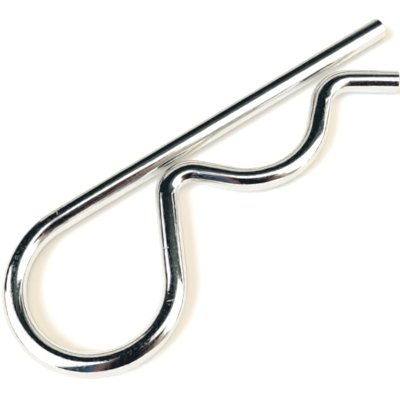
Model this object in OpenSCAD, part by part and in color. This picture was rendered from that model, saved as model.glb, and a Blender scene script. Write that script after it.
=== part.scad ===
// Hitch pin clip, also called an R clip: one length of round spring wire bent in one plane.
// Its straight leg goes through the cross hole of a shaft. Its bent leg springs over the outside
// of that shaft and holds it in a wave-shaped seat, and the loop is what a finger pulls.
//
// Millimetres. The origin is where the leg's axis crosses the shaft's axis. +X runs along the leg
// to its tip, -Y to the bent leg, and Z along the shaft. The clip lies flat, so that the plane
// of the wire is level.

/* [Wire] */
// Diameter of the round wire
wire_d = 3.2; // [2.8:0.1:3.8]
// How much thinner the wire is where it is bent
bend_draw_down = 0.02; // [0.01:0.01:0.06]
// Width of the chamfer round both cut ends
end_chamfer = 0.3; // [0.1:0.05:0.6]

/* [Straight leg] */
// Length of the leg from the shaft's axis to the tip
leg_reach = 24.5; // [22:0.5:40]

/* [Loop] */
// Inside radius of the loop
loop_inside_r = 8.6; // [7.5:0.1:11]
// Straight length of the neck, from the loop to the first bend
neck_len = 10.8; // [8:0.2:16]

/* [First bend, between the neck and the seat] */
// Inside radius of the first bend
first_bend_inside_r = 1.7; // [1.2:0.1:3]
// Free space between the first bend and the leg
first_bend_gap = 0.15; // [0.1:0.05:1]
// Straight length from the first bend to the seat
first_ramp_len = 4.8; // [3:0.2:7]

/* [Shaft seat] */
// Diameter of the largest shaft that the seat holds
shaft_d = 18.4; // [16.4:0.2:20]
// Inside radius of the seat
seat_inside_r = 8.4; // [7:0.1:10]

/* [Second bend, between the seat and the lead-in] */
// Straight length from the seat to the second bend
second_ramp_len = 3.7; // [2:0.1:6]
// Inside radius of the second bend
second_bend_inside_r = 2.6; // [1.6:0.1:4]
// Free space between the second bend and the leg
second_bend_gap = 0.7; // [0.2:0.05:1.5]

/* [Lead-in] */
// Length of the flared end that guides the shaft in
lead_in_len = 6.8; // [4:0.2:10]
// Angle of the flared end to the leg, in degrees
lead_in_angle = 36; // [20:1:50]

/* [Hidden] */
$fn = 96;

wire_r = wire_d / 2;
bent_d = wire_d - bend_draw_down;
// Length by which each end of a bend lies inside the straight wire beside it
run_in = 0.1;

// Radii of the wire's centre line
loop_r = loop_inside_r + wire_r;
first_bend_r = first_bend_inside_r + wire_r;
seat_r = seat_inside_r + wire_r;
second_bend_r = second_bend_inside_r + wire_r;

// Two arcs that bend opposite ways, with a tangent straight length between them. Their centres
// are the corners of a right triangle whose sides are that length and the sum of the radii.
function along(r_sum, len, rise) = sqrt(r_sum * r_sum + len * len - rise * rise);
// How far the straight length turns away from the line between the two centres
function slant(r_sum, len) = atan2(r_sum, len);
// Direction from one centre to another
function bearing(from, to) = atan2(to.y - from.y, to.x - from.x);

// How far each centre lies from the leg's axis
loop_y = -loop_r;
first_bend_y = -(wire_d + first_bend_gap + first_bend_r);
seat_y = seat_r - (shaft_d / 2 + wire_r);
second_bend_y = -(wire_d + second_bend_gap + second_bend_r);

// Centres of the four arcs, worked out from the seat towards both ends of the bent leg
seat_at = [0, seat_y];
first_bend_at = [
    -along(first_bend_r + seat_r, first_ramp_len, seat_y - first_bend_y),
    first_bend_y
];
second_bend_at = [
    along(seat_r + second_bend_r, second_ramp_len, seat_y - second_bend_y),
    second_bend_y
];
loop_at = [
    first_bend_at.x - along(loop_r + first_bend_r, neck_len, first_bend_y - loop_y),
    loop_y
];

// Headings of the straight lengths, in degrees from +X, followed from the loop to the flared end
neck_heading = bearing(loop_at, first_bend_at) + slant(loop_r + first_bend_r, neck_len);
first_ramp_heading = bearing(first_bend_at, seat_at) - slant(first_bend_r + seat_r, first_ramp_len);
second_ramp_heading = bearing(seat_at, second_bend_at) + slant(seat_r + second_bend_r, second_ramp_len);
lead_in_heading = -lead_in_angle;

// Point of an arc where the wire heads that way. The wire bends left on side 1, right on side -1.
function on_arc(centre, r, side, heading) = centre + side * r * [sin(heading), -cos(heading)];

// Angle of a bend that is as long as the run-in
function run_in_angle(r) = run_in / r * 180 / PI;

// Straight length of wire that starts at a point
module straight(start, heading, len) {
    translate([start.x, start.y, 0])
        rotate([0, 90, heading])
            cylinder(h = len, d = wire_d);
}

// Straight length of wire that ends in a chamfered cut
module straight_to_cut(start, heading, len) {
    translate([start.x, start.y, 0])
        rotate([0, 90, heading]) {
            cylinder(h = len - end_chamfer, d = wire_d);
            translate([0, 0, len - end_chamfer])
                cylinder(h = end_chamfer, d1 = wire_d, d2 = wire_d - 2 * end_chamfer);
        }
}

// Wire bent to the left round a centre, from one heading to another
module bend_left(centre, r, from, to) {
    over = run_in_angle(r);
    translate([centre.x, centre.y, 0])
        rotate([0, 0, from - 90 - over])
            rotate_extrude(angle = to - from + 2 * over)
                translate([r, 0])
                    circle(d = bent_d);
}

// Wire bent to the right round a centre, from one heading to another
module bend_right(centre, r, from, to) {
    over = run_in_angle(r);
    translate([centre.x, centre.y, 0])
        rotate([0, 0, to + 90 - over])
            rotate_extrude(angle = from - to + 2 * over)
                translate([r, 0])
                    circle(d = bent_d);
}

module straight_leg() {
    straight_to_cut([loop_at.x, 0], 0, leg_reach - loop_at.x);
}

module loop_and_neck() {
    bend_left(loop_at, loop_r, 180, 360 + neck_heading);
    straight(on_arc(loop_at, loop_r, 1, neck_heading), neck_heading, neck_len);
}

module first_bend() {
    bend_right(first_bend_at, first_bend_r, neck_heading, first_ramp_heading);
    straight(
        on_arc(first_bend_at, first_bend_r, -1, first_ramp_heading),
        first_ramp_heading,
        first_ramp_len
    );
}

module seat() {
    bend_left(seat_at, seat_r, first_ramp_heading, second_ramp_heading);
    straight(
        on_arc(seat_at, seat_r, 1, second_ramp_heading),
        second_ramp_heading,
        second_ramp_len
    );
}

module second_bend_and_lead_in() {
    bend_right(second_bend_at, second_bend_r, second_ramp_heading, lead_in_heading);
    straight_to_cut(
        on_arc(second_bend_at, second_bend_r, -1, lead_in_heading),
        lead_in_heading,
        lead_in_len
    );
}

module r_clip() {
    color("silver")
        union() {
            straight_leg();
            loop_and_neck();
            first_bend();
            seat();
            second_bend_and_lead_in();
        }
}

r_clip();
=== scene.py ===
"""The looks of a hitch pin clip: one bright plated wire, lying on a white table.

Everything is in metres, in the frame of the CAD model: +X along the straight leg to its tip, -Y
towards the waved leg, and Z square to the plane of the wire. The wire's axis is at z = 0.
"""
import math

import bmesh
import bpy
from mathutils import Matrix, Vector


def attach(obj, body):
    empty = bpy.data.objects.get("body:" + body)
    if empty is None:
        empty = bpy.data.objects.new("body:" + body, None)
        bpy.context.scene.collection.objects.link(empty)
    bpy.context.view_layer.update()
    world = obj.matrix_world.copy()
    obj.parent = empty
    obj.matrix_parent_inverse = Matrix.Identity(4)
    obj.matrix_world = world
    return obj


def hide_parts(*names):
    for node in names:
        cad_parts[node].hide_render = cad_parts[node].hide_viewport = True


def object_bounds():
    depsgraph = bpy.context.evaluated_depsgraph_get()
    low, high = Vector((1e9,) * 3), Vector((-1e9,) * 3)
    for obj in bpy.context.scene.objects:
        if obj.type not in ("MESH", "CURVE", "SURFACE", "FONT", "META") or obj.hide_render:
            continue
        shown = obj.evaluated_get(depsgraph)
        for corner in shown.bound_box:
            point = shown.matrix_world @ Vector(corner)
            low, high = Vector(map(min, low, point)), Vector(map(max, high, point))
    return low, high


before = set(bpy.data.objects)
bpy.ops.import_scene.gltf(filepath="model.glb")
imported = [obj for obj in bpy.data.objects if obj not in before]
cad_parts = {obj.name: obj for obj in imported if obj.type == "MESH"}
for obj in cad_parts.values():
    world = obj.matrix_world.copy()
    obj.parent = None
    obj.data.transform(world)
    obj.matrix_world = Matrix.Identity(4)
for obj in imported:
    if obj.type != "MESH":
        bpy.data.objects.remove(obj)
cad_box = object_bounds()

MM = 0.001


def srgb(red, green, blue):
    """A colour read off a screen, 0 to 255, as the linear colour that Blender takes."""
    def linear(value):
        value /= 255
        return value / 12.92 if value <= 0.04045 else ((value + 0.055) / 1.055) ** 2.4
    return (linear(red), linear(green), linear(blue), 1.0)


# Sizes of the clip, the same as the CAD model's
WIRE_R = 1.6 * MM
END_CHAMFER = 0.3 * MM
LEG_REACH = 24.5 * MM
LOOP_R = 8.6 * MM + WIRE_R
NECK_LEN = 10.8 * MM
FIRST_BEND_R = 1.7 * MM + WIRE_R
FIRST_BEND_GAP = 0.15 * MM
FIRST_RAMP_LEN = 4.8 * MM
SHAFT_R = 9.2 * MM
SEAT_R = 8.4 * MM + WIRE_R
SECOND_RAMP_LEN = 3.7 * MM
SECOND_BEND_R = 2.6 * MM + WIRE_R
SECOND_BEND_GAP = 0.7 * MM
LEAD_IN_LEN = 6.8 * MM
LEAD_IN_ANGLE = math.radians(36)
# How much smaller the wire's radius is where it is bent
BEND_DRAW_DOWN = 0.01 * MM

# How finely the wire is meshed, and the length over which a bend starts or ends
RING_STEP = 0.16 * MM
RING_SIDES = 80
CURVATURE_BLEND = 1.4 * MM
SHARP_EDGE = math.radians(30)

# Left and right of the wire are as seen along it from the leg's tip

# Fine marks of the bending tool: (length from the tip, slant, right end, left end), where the ends
# are left of the wire's middle, in mm. Then how soft a mark's sides and its ends are.
TOOL_MARKS = [
    (53.6, 0.05, -1.35, -0.15),
    (93.75, -0.45, -0.30, 0.45),
    (100.7, 0.15, 0.40, 1.40),
]
MARK_SIDE = (0.10 * MM, 0.04 * MM)
MARK_END = 0.1 * MM

# Small turns of the mirrored picture round the wire, where the real wire isn't quite round. They
# are listed here, and only the shading follows them. Each is (length from the tip in mm,
# degrees all round, more on the left shoulder, more on the right shoulder).
MIRROR_TURNS = [
    # Straight leg, to 54.3
    (0, -5, 0, -6), (39, -5, 0, -6), (44, -8, 0, -4), (51, -8, 0, 0),
    # Loop, to 97.6
    (55, -4, 0, 0), (60, 0, 0, 0), (66, 1, 0, 0), (72, 3, 0, 0), (78, 4, -2, 0),
    (83, 4, -3, 0), (87, -2, -2, 0), (90, -8, 0, 0), (93, -10, 4, 0), (96, -4, 5, 0),
    # Neck and first bend, to 114.7
    (98.5, -1, 4, 0), (101.5, -1, 4, 0), (105, -3, 5, 0), (109, -7, 3, 0), (112, -10, 0, 0),
    # First ramp and seat, to 135.4
    (115, -4, 0, 0), (118, 1, -3, 0), (122, 4, -4, 0), (124.5, 4, 0, 0), (127, 0, 0, 0),
    (131, -1, 0, 0), (135, -2, 0, 0),
    # Second ramp, second bend and lead-in, to 151.9
    (138, -8, 0, 0), (144, -3, -3, 0), (148, 1, -6, 0), (152, 2, -6, 0),
]
# Where a shoulder's turn fades in, and out again towards the top of the wire, in degrees round
# the wire from its left side
LEFT_SHOULDER = ((35, 65), (98, 84))
RIGHT_SHOULDER = ((145, 115), (82, 96))

# Colours of the plate
PLATE = (0.93, 0.935, 0.93, 1)
PLATE_PATCH = (0.89, 0.885, 0.86, 1)
CUT_FACE = (0.60, 0.60, 0.58, 1)

# Grain of the plate, as (along the wire, across it, up) in spots to a metre
DIE_LINES = (45, 4200, 4200)
SPECKS = (3200, 4600, 4600)
WAVES = (150, 600, 600)
PATCHES = (250, 500, 500)
SHEAR_LINES = (1, 9000, 700)
# Values of the noise between which a patch or a pit begins
PATCH_EDGE = (0.35, 0.7)
PIT_EDGE = (0.47, 0.64)
# How deep a height of 1 is, and how strongly it shows
BUMP_DEPTH = 0.01 * MM
BUMP_STRENGTH = 0.5
PLATE_ROUGHNESS = 0.025

# The table, and the light that it and the setting seem to give
FLOOR_Z = cad_box[0].z
TABLE_HALF = 3.0
TABLE_COLOUR = (0.62, 0.62, 0.62, 1)
TABLE_GLOW = 0.42
# The table's glow as the metal mirrors it: dimmer, and with a painted warm tint
MIRRORED_TABLE_GLOW = 0.26
MIRRORED_TABLE_TINT = (1, 0.93, 0.72, 1)
AMBIENT_LIGHT = 0.32
MIRRORED_AIR = srgb(226, 222, 208)
WHITE = (1, 1, 1, 1)

# The card that the wire mirrors, and the width within which its edges wander
CARD_HALF = 0.9
CARD_GLOW = 1.14
CARD_WANDER = 12 * MM
CARD_WANDER_SCALE = 25.0

# Colours of what the wire mirrors
FAR_UPRIGHT = srgb(158, 154, 140)
NEAR_UPRIGHT = srgb(18, 28, 34)
POST = srgb(14, 24, 26)
OPENING = srgb(14, 27, 34)
OPENING_RIM = srgb(80, 92, 88)
OPENING_HIGH = srgb(184, 184, 172)
OPENING_WINDOW = srgb(244, 246, 240)
LOW_WALL = srgb(104, 100, 92)
LEFT_WALL = srgb(26, 42, 46)
# Colour of the sheet that paints a dark reflection on the loop's lower right
PATCH = srgb(16, 26, 32)

# Bands of the room's dark side, each (place in the fan, colour), from left to right
SIDE_FAN = (-0.3, 1.1)
SIDE_BANDS = [
    (-0.22, srgb(34, 54, 68)),
    (-0.10, srgb(66, 84, 110)),
    (-0.03, srgb(122, 88, 82)),
    (0.05, srgb(20, 24, 32)),
    (0.38, srgb(10, 20, 26)),
    (0.54, srgb(72, 60, 60)),
    (0.78, srgb(110, 88, 82)),
    (0.92, srgb(180, 166, 148)),
]

# Corners in mm of a dark sheet over the loop's lower right, seen only in the wire's reflections: a
# painted dark reflection there
PAINTED_DARK_REFLECTION = [
    (-34.5, -11.0, 23.2),
    (-35.5, -20.8, 19.4),
    (-32.0, -24.0, 18.8),
    (-26.5, -24.0, 19.2),
    (-25.8, -20.6, 20.5),
    (-27.8, -14.7, 22.3),
    (-30.5, -10.5, 23.6),
]
WALL_SIDES = 64

# Camera: where it looks, how far off, and how it is turned
CAMERA_TARGET = Vector((-12.04 * MM, -7.42 * MM, -1.6 * MM))
CAMERA_DISTANCE = 96.3 * MM
CAMERA_AZIMUTH = math.radians(-28.6)
CAMERA_ELEVATION = math.radians(66.76)
CAMERA_ROLL = math.radians(-5.2)
CAMERA_LENS = 64.26
CAMERA_SENSOR = 36
CAMERA_NEAR = 5 * MM
CAMERA_FAR = 20

# Lamps: how far the key lamp stands to the left of the picture, below its middle and up, and how
# far the warm lamp leans to the right
KEY_LEFT = 0.87
KEY_BELOW = 0.40
KEY_UP = 1.19
WARM_LEAN = 0.15


# Shape of the wire

def rise_between(r_sum, length, rise):
    """Distance along the leg between two arcs' centres joined by a tangent straight length."""
    return math.sqrt(r_sum ** 2 + length ** 2 - rise ** 2)


def bearing(start, end):
    """Direction from one point to another."""
    return math.atan2(end.y - start.y, end.x - start.x)


def wire_stretches():
    """The wire from the leg's tip to its flared end, as (length, curvature), + where it bends left."""
    loop_y = -LOOP_R
    first_y = -(2 * WIRE_R + FIRST_BEND_GAP + FIRST_BEND_R)
    seat_y = SEAT_R - (SHAFT_R + WIRE_R)
    second_y = -(2 * WIRE_R + SECOND_BEND_GAP + SECOND_BEND_R)
    neck_sum = LOOP_R + FIRST_BEND_R
    first_sum = FIRST_BEND_R + SEAT_R
    second_sum = SEAT_R + SECOND_BEND_R
    seat = Vector((0, seat_y))
    first = Vector((-rise_between(first_sum, FIRST_RAMP_LEN, seat_y - first_y), first_y))
    second = Vector((rise_between(second_sum, SECOND_RAMP_LEN, seat_y - second_y), second_y))
    loop = Vector((first.x - rise_between(neck_sum, NECK_LEN, first_y - loop_y), loop_y))
    neck = bearing(loop, first) + math.atan2(neck_sum, NECK_LEN)
    ramp_in = bearing(first, seat) - math.atan2(first_sum, FIRST_RAMP_LEN)
    ramp_out = bearing(seat, second) + math.atan2(second_sum, SECOND_RAMP_LEN)
    return [
        (LEG_REACH - loop.x, 0),
        (LOOP_R * (math.pi + neck), 1 / LOOP_R),
        (NECK_LEN, 0),
        (FIRST_BEND_R * (neck - ramp_in), -1 / FIRST_BEND_R),
        (FIRST_RAMP_LEN, 0),
        (SEAT_R * (ramp_out - ramp_in), 1 / SEAT_R),
        (SECOND_RAMP_LEN, 0),
        (SECOND_BEND_R * (ramp_out + LEAD_IN_ANGLE), -1 / SECOND_BEND_R),
        (LEAD_IN_LEN, 0),
    ]


def wire_length():
    """Length of the whole wire."""
    return sum(stretch[0] for stretch in wire_stretches())


def blended_curvature(stretches, s):
    """Curvature at length s, averaged over a short window so that bends start and end softly."""
    low, high = s - CURVATURE_BLEND / 2, s + CURVATURE_BLEND / 2
    total, start = 0.0, 0.0
    for length, curvature in stretches:
        end = start + length
        total += curvature * max(0.0, min(high, end) - max(low, start))
        start = end
    return total / CURVATURE_BLEND


def wire_path():
    """Points (s, position, heading, curvature) along the wire, from the leg's tip."""
    stretches = wire_stretches()
    length = wire_length()
    count = round(length / RING_STEP)
    step = length / count
    x, y, heading = LEG_REACH, 0.0, math.pi
    points = []
    for i in range(count + 1):
        s = i * step
        points.append((s, Vector((x, y, 0)), heading, blended_curvature(stretches, s)))
        turn = blended_curvature(stretches, s + step / 2) * step
        middle = heading + turn / 2
        x += step * math.cos(middle)
        y += step * math.sin(middle)
        heading += turn
    return points


def ring_radius(s, length, curvature):
    """Radius of the wire: a little less in the bends, and chamfered at both ends."""
    bend = min(1.0, abs(curvature) * LOOP_R)
    radius = WIRE_R - BEND_DRAW_DOWN * bend
    to_end = min(s, length - s)
    if to_end < END_CHAMFER:
        radius -= END_CHAMFER - to_end
    return radius


def smooth_step(value, low, high):
    """Goes softly from 0 to 1 as the value goes from low to high."""
    share = min(1.0, max(0.0, (value - low) / (high - low)))
    return share * share * (3 - 2 * share)


def on_shoulder(degrees, shoulder):
    """How much of a shoulder's turn works at that many degrees round the wire."""
    fade_in, fade_out = shoulder
    return smooth_step(degrees, *fade_in) * smooth_step(degrees, *fade_out)


def mirror_turn(s, angle):
    """How far the mirrored picture is turned at length s and angle round the wire, in radians."""
    for (start, *low), (end, *high) in zip(MIRROR_TURNS, MIRROR_TURNS[1:]):
        if s <= end * MM:
            break
    along = (s / MM - start) / (end - start)
    turn, left, right = (a + (b - a) * along for a, b in zip(low, high))
    degrees = math.degrees(angle)
    turn += left * on_shoulder(degrees, LEFT_SHOULDER)
    turn += right * on_shoulder(degrees, RIGHT_SHOULDER)
    return math.radians(turn)


def add_ring(bm, point, length):
    """One ring of vertices round the wire, which starts at its underside.

    Each vertex keeps its place on the unbent wire and the lean of its mirrored picture.
    """
    s, centre, heading, curvature = point
    radius = ring_radius(s, length, curvature)
    along = Vector((math.cos(heading), math.sin(heading), 0))
    left = Vector((-along.y, along.x, 0))
    up = Vector((0, 0, 1))
    straight_wire = bm.verts.layers.float_vector["straight_wire"]
    mirror_lean = bm.verts.layers.float_vector["mirror_lean"]
    ring = []
    for k in range(RING_SIDES):
        angle = math.tau * k / RING_SIDES - math.pi / 2
        out = left * math.cos(angle) + up * math.sin(angle)
        vertex = bm.verts.new(centre + out * radius)
        vertex[straight_wire] = (s, WIRE_R * math.cos(angle), WIRE_R * math.sin(angle))
        vertex[mirror_lean] = along.cross(out) * math.tan(mirror_turn(s, angle))
        ring.append(vertex)
    return ring


def add_sides(bm, points, rings):
    """Faces between the rings, unwrapped along the wire and round it."""
    uv_layer = bm.loops.layers.uv.new("UVMap")
    length = points[-1][0]
    for i in range(len(rings) - 1):
        for k in range(RING_SIDES):
            after = (k + 1) % RING_SIDES
            corners = (rings[i][k], rings[i + 1][k], rings[i + 1][after], rings[i][after])
            face = bm.faces.new(corners)
            places = ((i, k), (i + 1, k), (i + 1, k + 1), (i, k + 1))
            for loop, (along, around) in zip(face.loops, places):
                loop[uv_layer].uv = (points[along][0] / length, around / RING_SIDES)


def add_cut_face(bm, rim, point):
    """Closes one end of the wire with a flat cut face."""
    s, centre = point[:2]
    straight_wire = bm.verts.layers.float_vector["straight_wire"]
    middle = bm.verts.new(centre)
    middle[straight_wire] = (s, 0, 0)
    for k in range(RING_SIDES):
        bm.faces.new((rim[k], rim[(k + 1) % RING_SIDES], middle))


def wire_mesh(name):
    """The wire as one swept mesh."""
    points = wire_path()
    length = points[-1][0]
    bm = bmesh.new()
    bm.verts.layers.float_vector.new("straight_wire")
    bm.verts.layers.float_vector.new("mirror_lean")
    rings = [add_ring(bm, point, length) for point in points]
    add_sides(bm, points, rings)
    add_cut_face(bm, rings[0], points[0])
    add_cut_face(bm, rings[-1], points[-1])
    bmesh.ops.recalc_face_normals(bm, faces=bm.faces)
    for face in bm.faces:
        face.smooth = True
    mesh = bpy.data.meshes.new(name)
    bm.to_mesh(mesh)
    bm.free()
    mesh.set_sharp_from_angle(angle=SHARP_EDGE)
    return mesh


# Node helper

class Graph:
    """Adds nodes to a material or world and links their sockets."""

    def __init__(self, owner):
        owner.use_nodes = True
        self.tree = owner.node_tree
        self.tree.nodes.clear()

    def feed(self, socket, value):
        """Links a socket to another node, or gives it a plain value."""
        if isinstance(value, bpy.types.NodeSocket):
            self.tree.links.new(value, socket)
        else:
            socket.default_value = value

    def feed_all(self, made, *values):
        """Feeds a node's first inputs, in order."""
        for socket, value in zip(made.inputs, values):
            self.feed(socket, value)

    def node(self, kind, **inputs):
        """A node whose inputs are fed by name, with underscores for spaces."""
        made = self.tree.nodes.new(kind)
        for name, value in inputs.items():
            self.feed(made.inputs[name.replace("_", " ")], value)
        return made

    def attribute(self, name):
        """What the mesh keeps on its vertices under that name."""
        made = self.tree.nodes.new("ShaderNodeAttribute")
        made.attribute_name = name
        return made.outputs["Vector"]

    def math(self, operation, *values, clamp=False):
        made = self.tree.nodes.new("ShaderNodeMath")
        made.operation = operation
        made.use_clamp = clamp
        self.feed_all(made, *values)
        return made.outputs[0]

    def size(self, value):
        """The value without its sign."""
        return self.math("ABSOLUTE", value)

    def plus(self, a, b):
        return self.math("ADD", a, b)

    def minus(self, a, b):
        return self.math("SUBTRACT", a, b)

    def times(self, first, *others):
        for other in others:
            first = self.math("MULTIPLY", first, other)
        return first

    def line(self, value, slope, start):
        """The value times the slope, plus the start."""
        return self.math("MULTIPLY_ADD", value, slope, start)

    def at_least(self, a, b):
        return self.math("MAXIMUM", a, b)

    def at_most(self, a, b):
        return self.math("MINIMUM", a, b)

    def either(self, a, b):
        """Two masks as one."""
        return self.math("ADD", a, b, clamp=True)

    def ramp(self, value, low, high, start=0.0, end=1.0, soft=True):
        """Goes from start to end as the value goes from low to high."""
        made = self.tree.nodes.new("ShaderNodeMapRange")
        made.interpolation_type = "SMOOTHSTEP" if soft else "LINEAR"
        self.feed_all(made, value, low, high, start, end)
        return made.outputs[0]

    def mix(self, share, a, b):
        """Colour a, with that share of colour b."""
        made = self.tree.nodes.new("ShaderNodeMix")
        made.data_type = "RGBA"
        # The colour sockets come after those for numbers and vectors
        self.feed(made.inputs[0], share)
        self.feed(made.inputs[6], a)
        self.feed(made.inputs[7], b)
        return made.outputs[2]

    def bands(self, value, low, high, stops):
        """Colour that passes through the stops, each (value, colour), from low to high."""
        made = self.tree.nodes.new("ShaderNodeValToRGB")
        ends = made.color_ramp.elements
        for index, (at, colour) in enumerate(stops):
            stop = ends[index] if index < len(ends) else ends.new(1.0)
            stop.position = (at - low) / (high - low)
            stop.color = colour
        self.feed(made.inputs[0], self.ramp(value, low, high, soft=False))
        return made.outputs["Color"]

    def noise(self, place, scale, detail=2.0, roughness=0.5):
        made = self.node("ShaderNodeTexNoise", Vector=place, Scale=scale, Detail=detail)
        self.feed(made.inputs["Roughness"], roughness)
        return made.outputs["Fac"]

    def grain(self, place, spots, detail=2.0, roughness=0.5):
        """Noise with that many spots to a metre along each axis."""
        stretched = self.node("ShaderNodeMapping", Vector=place, Scale=spots).outputs["Vector"]
        return self.noise(stretched, 1.0, detail, roughness)

    def vector(self, operation, *values):
        made = self.tree.nodes.new("ShaderNodeVectorMath")
        made.operation = operation
        self.feed_all(made, *values)
        return made.outputs["Vector"]

    def glow(self, colour, strength):
        return self.node("ShaderNodeEmission", Color=colour, Strength=strength).outputs[0]

    def surface(self, shader):
        """Ends a material with its shader."""
        self.node("ShaderNodeOutputMaterial", Surface=shader)


def new_material(name):
    """A material and its graph."""
    material = bpy.data.materials.new(name)
    return material, Graph(material)


# The clip's material

def tool_marks(graph, along, across, up):
    """Mask of the fine marks that the bending tool left on top of the wire."""
    marks = 0.0
    on_top = graph.math("GREATER_THAN", up, 0.0)
    for s, slant, right_end, left_end in TOOL_MARKS:
        middle = graph.line(across, slant, s * MM)
        from_middle = graph.size(graph.minus(along, middle))
        mark = graph.ramp(from_middle, *MARK_SIDE)
        right_side = graph.ramp(across, right_end * MM - MARK_END, right_end * MM + MARK_END)
        left_side = graph.ramp(across, left_end * MM + MARK_END, left_end * MM - MARK_END)
        marks = graph.either(graph.times(mark, right_side, left_side, on_top), marks)
    return marks


def cut_faces(graph, along):
    """Mask of the flat faces at the wire's two ends, told from the chamfers by their place."""
    inside = 0.02 * MM
    outside = 0.005 * MM
    length = wire_length()
    tip = graph.ramp(along, inside, outside)
    flared_end = graph.ramp(along, length - inside, length - outside)
    return graph.either(tip, flared_end)


def plated_wire_material():
    """Bright zinc plate over drawn wire: near mirror, with die lines, specks and tool marks."""
    material, graph = new_material("plated_wire")
    place = graph.attribute("straight_wire")
    along, across, up = graph.node("ShaderNodeSeparateXYZ", Vector=place).outputs
    die_lines = graph.grain(place, DIE_LINES, detail=3.0, roughness=0.65)
    specks = graph.grain(place, SPECKS, roughness=0.6)
    waves = graph.grain(place, WAVES, detail=1.0)
    patches = graph.ramp(graph.grain(place, PATCHES), *PATCH_EDGE)
    pits = graph.ramp(specks, *PIT_EDGE)
    marks = tool_marks(graph, along, across, up)
    cut = cut_faces(graph, along)
    shear_lines = graph.times(cut, graph.grain(place, SHEAR_LINES, detail=3.0, roughness=0.6))

    colour = graph.mix(patches, PLATE, PLATE_PATCH)
    colour = graph.mix(cut, colour, CUT_FACE)

    roughness = PLATE_ROUGHNESS
    for mask, added in ((pits, 0.20), (marks, 0.45), (cut, 0.32)):
        roughness = graph.line(mask, added, roughness)

    height = 0.0
    heights = (
        (die_lines, 0.9),
        (specks, 0.75),
        (waves, 3.0),
        (marks, -1.0),
        (shear_lines, 14.0),
    )
    for texture, added in heights:
        height = graph.line(texture, added, height)

    normal = graph.node("ShaderNodeNewGeometry").outputs["Normal"]
    normal = graph.vector("ADD", normal, graph.attribute("mirror_lean"))
    normal = graph.vector("NORMALIZE", normal)
    bump = graph.node("ShaderNodeBump", Strength=BUMP_STRENGTH, Distance=BUMP_DEPTH)
    graph.feed(bump.inputs["Height"], height)
    graph.feed(bump.inputs["Normal"], normal)
    metal = graph.node("ShaderNodeBsdfPrincipled", Base_Color=colour, Metallic=1.0)
    graph.feed(metal.inputs["Roughness"], roughness)
    graph.feed(metal.inputs["Normal"], bump.outputs[0])
    graph.surface(metal.outputs[0])
    return material


# Materials of the setting

def mirror_rays(graph):
    """Mask of the rays that show the setting in the clip, not to the camera."""
    rays = graph.node("ShaderNodeLightPath").outputs
    return graph.either(rays["Is Glossy Ray"], rays["Is Transmission Ray"])


def camera_rays(graph):
    """Mask of the rays that the camera sees by itself."""
    return graph.node("ShaderNodeLightPath").outputs["Is Camera Ray"]


def table_material():
    """White table: takes soft shadows and reads as white to the camera. In the metal it glows dimmer,
    with a painted warm tint.
    """
    material, graph = new_material("white_table")
    mirrored = mirror_rays(graph)
    strength = graph.times(mirrored, MIRRORED_TABLE_GLOW)
    strength = graph.line(camera_rays(graph), TABLE_GLOW, strength)
    tint = graph.mix(mirrored, WHITE, MIRRORED_TABLE_TINT)
    paint = graph.node("ShaderNodeBsdfDiffuse", Color=TABLE_COLOUR)
    both = graph.node("ShaderNodeAddShader")
    graph.feed_all(both, paint.outputs[0], graph.glow(tint, strength))
    graph.surface(both.outputs[0])
    return material


def glowing_material(name, colour):
    """One plain colour, which needs no light."""
    material, graph = new_material(name)
    graph.surface(graph.glow(colour, 1.0))
    return material


# The card's shapes. Each function lays one of them over the colour it is given. On the card, u
# runs to the right of the picture and v up it, from the camera's axis. A pair of numbers is where
# an edge starts to fade and where the fade ends.

def card_material():
    """What the wire mirrors from above: a white tent, its dark opening and the room below it."""
    material, graph = new_material("reflected_room")
    place = graph.node("ShaderNodeTexCoord").outputs["Object"]
    parts = graph.node("ShaderNodeSeparateXYZ", Vector=place).outputs
    wander = graph.line(graph.noise(place, CARD_WANDER_SCALE), CARD_WANDER, -CARD_WANDER / 2)
    u = graph.plus(parts["X"], wander)
    v = graph.plus(parts["Y"], wander)
    colour = with_far_upright(graph, u, v, WHITE)
    colour = with_dark_side(graph, u, v, colour)
    colour = with_near_upright(graph, u, v, colour)
    colour = with_opening(graph, u, v, colour)
    graph.surface(graph.glow(colour, CARD_GLOW))
    return material


def with_far_upright(graph, u, v, colour):
    """A grey thing far to the right, below a slanted line."""
    slope = -0.35
    start = -2 * MM
    top = (0.0, 14 * MM)
    foot = (110 * MM, 70 * MM)
    left_end = (86 * MM, 106 * MM)
    right_end = (320 * MM, 240 * MM)
    below = graph.minus(graph.line(u, slope, start), v)
    shape = graph.times(graph.ramp(below, *top), graph.ramp(below, *foot))
    shape = graph.times(shape, graph.ramp(u, *left_end), graph.ramp(u, *right_end))
    return graph.mix(shape, colour, FAR_UPRIGHT)


def with_dark_side(graph, u, v, colour):
    """The dark side of the room: bands of dull colours that fan out below the camera."""
    fan_u = -15 * MM
    fan_v = 60 * MM
    least_drop = 10 * MM
    drop = graph.at_least(graph.minus(fan_v, v), least_drop)
    fan = graph.math("DIVIDE", graph.minus(u, fan_u), drop)

    # The left side leans. The foot is higher under the right half of the fan.
    left_lean = 2.2
    left_start = -0.22
    left_side = (-0.08, 0.03)
    right_side = (1.10, 0.98)
    top = (17 * MM, 2 * MM)
    foot = (-25 * MM, 15 * MM)
    foot_rises = (0.42, 0.58)
    left_foot_v = -150 * MM
    right_foot_v = -125 * MM
    from_left = graph.minus(fan, graph.line(v, left_lean, left_start))
    foot_v = graph.ramp(fan, *foot_rises, left_foot_v, right_foot_v)
    shape = graph.times(graph.ramp(from_left, *left_side), graph.ramp(fan, *right_side))
    shape = graph.times(shape, graph.ramp(v, *top), graph.ramp(graph.minus(v, foot_v), *foot))

    # A darker post stands in front of the bands
    post_u = 38 * MM
    post_side = (13 * MM, 6 * MM)
    post_share = 0.85
    post = graph.ramp(graph.size(graph.minus(u, post_u)), *post_side)
    bands = graph.bands(fan, *SIDE_FAN, SIDE_BANDS)
    bands = graph.mix(graph.times(post, post_share), bands, POST)
    return graph.mix(shape, colour, bands)


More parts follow.
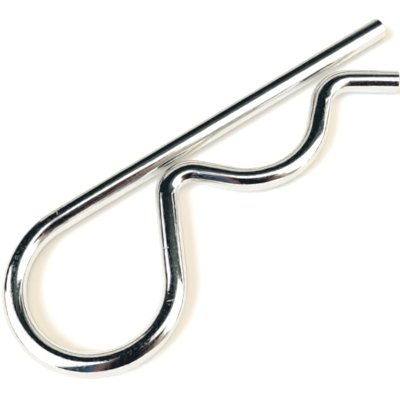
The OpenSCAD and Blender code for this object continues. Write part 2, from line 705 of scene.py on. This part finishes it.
def with_near_upright(graph, u, v, colour):
    """A thin leaning upright near the camera, which is faint and ends softly at its foot."""
    middle_u = -40 * MM
    middle_v = 62 * MM
    lean = math.radians(28.7)
    side = (7 * MM, 4 * MM)
    top = (68 * MM, 56 * MM)
    foot = (-60 * MM, -10 * MM)
    share = 0.5
    across = graph.times(graph.minus(u, middle_u), math.cos(lean))
    across = graph.line(graph.minus(v, middle_v), math.sin(lean), across)
    shape = graph.times(graph.ramp(graph.size(across), *side), graph.ramp(v, *top))
    shape = graph.times(shape, graph.ramp(v, *foot), share)
    return graph.mix(shape, colour, NEAR_UPRIGHT)


def above_opening_edge(graph, u, v):
    """How far a place is above the opening's edge, which rises to both sides of its low point."""
    low_u = -20 * MM
    low_v = 35 * MM
    left_slope = -0.50
    right_slope = 0.52
    right_rise = 36 * MM
    far_u = 50 * MM
    far_slope = 0.15
    from_low = graph.minus(u, low_u)
    on_left = graph.times(graph.at_most(from_low, 0.0), left_slope)
    on_right = graph.times(graph.at_least(from_low, 0.0), right_slope)
    on_right = graph.at_most(on_right, right_rise)
    farther = graph.at_least(graph.minus(u, far_u), 0.0)
    on_right = graph.line(farther, far_slope, on_right)
    edge = graph.plus(graph.plus(on_right, on_left), low_v)
    return graph.minus(v, edge)


def opening_colour(graph, u, v, above):
    """Inside the opening: a dull rim, a paler part high up, and a narrow window on the right."""
    rim_top = (62 * MM, 12 * MM)
    rim_left = (-40 * MM, -5 * MM)
    high_left = (10 * MM, 60 * MM)
    high_right = (260 * MM, 180 * MM)
    high_foot = (180 * MM, 520 * MM)
    window_left = (88 * MM, 118 * MM)
    window_foot = (143 * MM, 150 * MM)
    window_top = (186 * MM, 172 * MM)
    rim = graph.times(graph.ramp(above, *rim_top), graph.ramp(u, *rim_left))
    high = graph.times(graph.ramp(u, *high_left), graph.ramp(u, *high_right))
    high = graph.times(high, graph.ramp(v, *high_foot))
    window = graph.times(graph.ramp(v, *window_foot), graph.ramp(v, *window_top))
    window = graph.times(window, graph.ramp(u, *window_left))
    colour = graph.mix(rim, OPENING, OPENING_RIM)
    colour = graph.mix(high, colour, OPENING_HIGH)
    return graph.mix(window, colour, OPENING_WINDOW)


def with_opening(graph, u, v, colour):
    """The dark opening of the tent. Above a slanted line it goes on to the right."""
    fade = (-5 * MM, 8 * MM)
    right_end = (330 * MM, 250 * MM)
    slanted_slope = 0.53
    slanted_v = 68 * MM
    slanted_fade = (0.0, 20 * MM)
    above = above_opening_edge(graph, u, v)
    above_slant = graph.minus(graph.line(u, -slanted_slope, v), slanted_v)
    within = graph.at_least(graph.ramp(u, *right_end), graph.ramp(above_slant, *slanted_fade))
    shape = graph.times(graph.ramp(above, *fade), within)
    return graph.mix(shape, colour, opening_colour(graph, u, v, above))


# Setting

def camera_axes():
    """Right, up and back directions of the camera."""
    flat = math.cos(CAMERA_ELEVATION)
    back = Vector((
        math.sin(CAMERA_AZIMUTH) * flat,
        -math.cos(CAMERA_AZIMUTH) * flat,
        math.sin(CAMERA_ELEVATION),
    ))
    level = Vector((math.cos(CAMERA_AZIMUTH), math.sin(CAMERA_AZIMUTH), 0))
    upright = back.cross(level)
    right = level * math.cos(CAMERA_ROLL) + upright * math.sin(CAMERA_ROLL)
    return right, back.cross(right), back


def camera_matrix():
    """Place and turn of the camera, and of the card beside it."""
    right, up, back = camera_axes()
    turned = Matrix((right, up, back)).transposed().to_4x4()
    return Matrix.Translation(CAMERA_TARGET + back * CAMERA_DISTANCE) @ turned


def add_thing(name, data):
    """Puts an object in the scene."""
    thing = bpy.data.objects.new(name, data)
    bpy.context.scene.collection.objects.link(thing)
    return thing


def add_camera():
    """The camera that matches the photo."""
    data = bpy.data.cameras.new("camera")
    data.lens = CAMERA_LENS
    data.sensor_width = CAMERA_SENSOR
    data.clip_start = CAMERA_NEAR
    data.clip_end = CAMERA_FAR
    camera = add_thing("camera", data)
    camera.matrix_world = camera_matrix()
    bpy.context.scene.camera = camera


def add_to_setting(name, corners, faces, material):
    """A part of the setting, which is no part of the clip."""
    mesh = bpy.data.meshes.new(name)
    mesh.from_pydata(corners, [], faces)
    mesh.materials.append(material)
    thing = add_thing(name, mesh)
    return thing


def add_square(name, half, material):
    """A flat square round the origin."""
    corners = [(-half, -half, 0), (half, -half, 0), (half, half, 0), (-half, half, 0)]
    return add_to_setting(name, corners, [range(4)], material)


def only_mirrored(thing):
    """Shows a part of the setting in the wire's reflections alone."""
    thing.visible_camera = False
    thing.visible_diffuse = False
    thing.visible_transmission = False
    thing.visible_volume_scatter = False
    thing.visible_shadow = False


def add_table():
    """The table under the clip."""
    table = add_square("table", TABLE_HALF, table_material())
    table.location = (0, 0, FLOOR_Z)


def add_reflection_card():
    """A card at the lens, square to the view, which only the wire's reflections show."""
    card = add_square("reflected_room", CARD_HALF, card_material())
    card.matrix_world = camera_matrix()
    only_mirrored(card)


def add_wall(name, radius, height, first, last, colour):
    """A low wall round part of the table, from one direction to another in degrees from +X."""
    step = (last - first) / WALL_SIDES
    turns = [math.radians(first + step * k) for k in range(WALL_SIDES + 1)]
    ring = [(radius * math.cos(turn), radius * math.sin(turn)) for turn in turns]
    corners = [(x, y, z) for z in (FLOOR_Z, FLOOR_Z + height) for x, y in ring]
    above = len(ring)
    faces = [(k, k + 1, above + k + 1, above + k) for k in range(WALL_SIDES)]
    only_mirrored(add_to_setting(name, corners, faces, glowing_material(name, colour)))


def add_walls():
    """The horizon that the wire mirrors: grey all round, and a nearer, darker part on the left."""
    add_wall("low_wall", radius=0.50, height=0.055, first=0, last=360, colour=LOW_WALL)
    add_wall("left_wall", radius=0.20, height=0.085, first=105, last=144, colour=LEFT_WALL)


def add_painted_dark_reflection():
    """Painted dark reflection: a dark sheet, seen only in the wire's reflections, closes the white gap
    that the loop's lower right would mirror.
    """
    corners = [Vector(corner) * MM for corner in PAINTED_DARK_REFLECTION]
    faces = [range(len(corners))]
    material = glowing_material("painted_dark_reflection", PATCH)
    only_mirrored(add_to_setting("painted_dark_reflection", corners, faces, material))


def add_lamp(name, direction, width, power, colour):
    """A far lamp that only lights the table: the wire mirrors the card instead."""
    data = bpy.data.lights.new(name, "SUN")
    data.angle = math.radians(width)
    data.energy = power
    data.color = colour
    lamp = add_thing(name, data)
    lamp.rotation_euler = direction.to_track_quat("Z", "Y").to_euler()
    lamp.visible_glossy = False


def add_lamps():
    """A cool key from the lower left of the picture, and a warm lamp from above."""
    right, up = camera_axes()[:2]
    picture_left = Vector((-right.x, -right.y, 0)).normalized()
    picture_up = Vector((up.x, up.y, 0)).normalized()
    overhead = Vector((0, 0, 1))
    key = (picture_left * KEY_LEFT - picture_up * KEY_BELOW).normalized() + overhead * KEY_UP
    warm = overhead - picture_left * WARM_LEAN
    add_lamp("key_lamp", key, width=28, power=3.24, colour=(0.592, 0.735, 1.0))
    add_lamp("warm_lamp", warm, width=40, power=1.15, colour=(1.0, 0.68, 0.09))


def add_world():
    """White to the camera, a pale warm grey in the metal, and a soft even light."""
    world = bpy.data.worlds.new("room")
    bpy.context.scene.world = world
    graph = Graph(world)
    ambient = graph.node("ShaderNodeBackground", Color=WHITE, Strength=AMBIENT_LIGHT)
    mirrored = graph.node("ShaderNodeBackground", Color=MIRRORED_AIR, Strength=1.0)
    white = graph.node("ShaderNodeBackground", Color=WHITE, Strength=1.0)
    unseen = graph.node("ShaderNodeMixShader")
    graph.feed_all(unseen, mirror_rays(graph), ambient.outputs[0], mirrored.outputs[0])
    seen = graph.node("ShaderNodeMixShader")
    graph.feed_all(seen, camera_rays(graph), unseen.outputs[0], white.outputs[0])
    graph.node("ShaderNodeOutputWorld", Surface=seen.outputs[0])


def add_clip():
    """The clip: it takes the place of the CAD model's wire."""
    mesh = wire_mesh("clip_wire")
    mesh.materials.append(plated_wire_material())
    clip = add_thing("clip_wire", mesh)
    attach(clip, "root")
    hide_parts("r_clip")


add_camera()
add_world()
add_table()
add_reflection_card()
add_walls()
add_painted_dark_reflection()
add_lamps()
add_clip()
bpy.context.scene.view_settings.view_transform = "Standard"
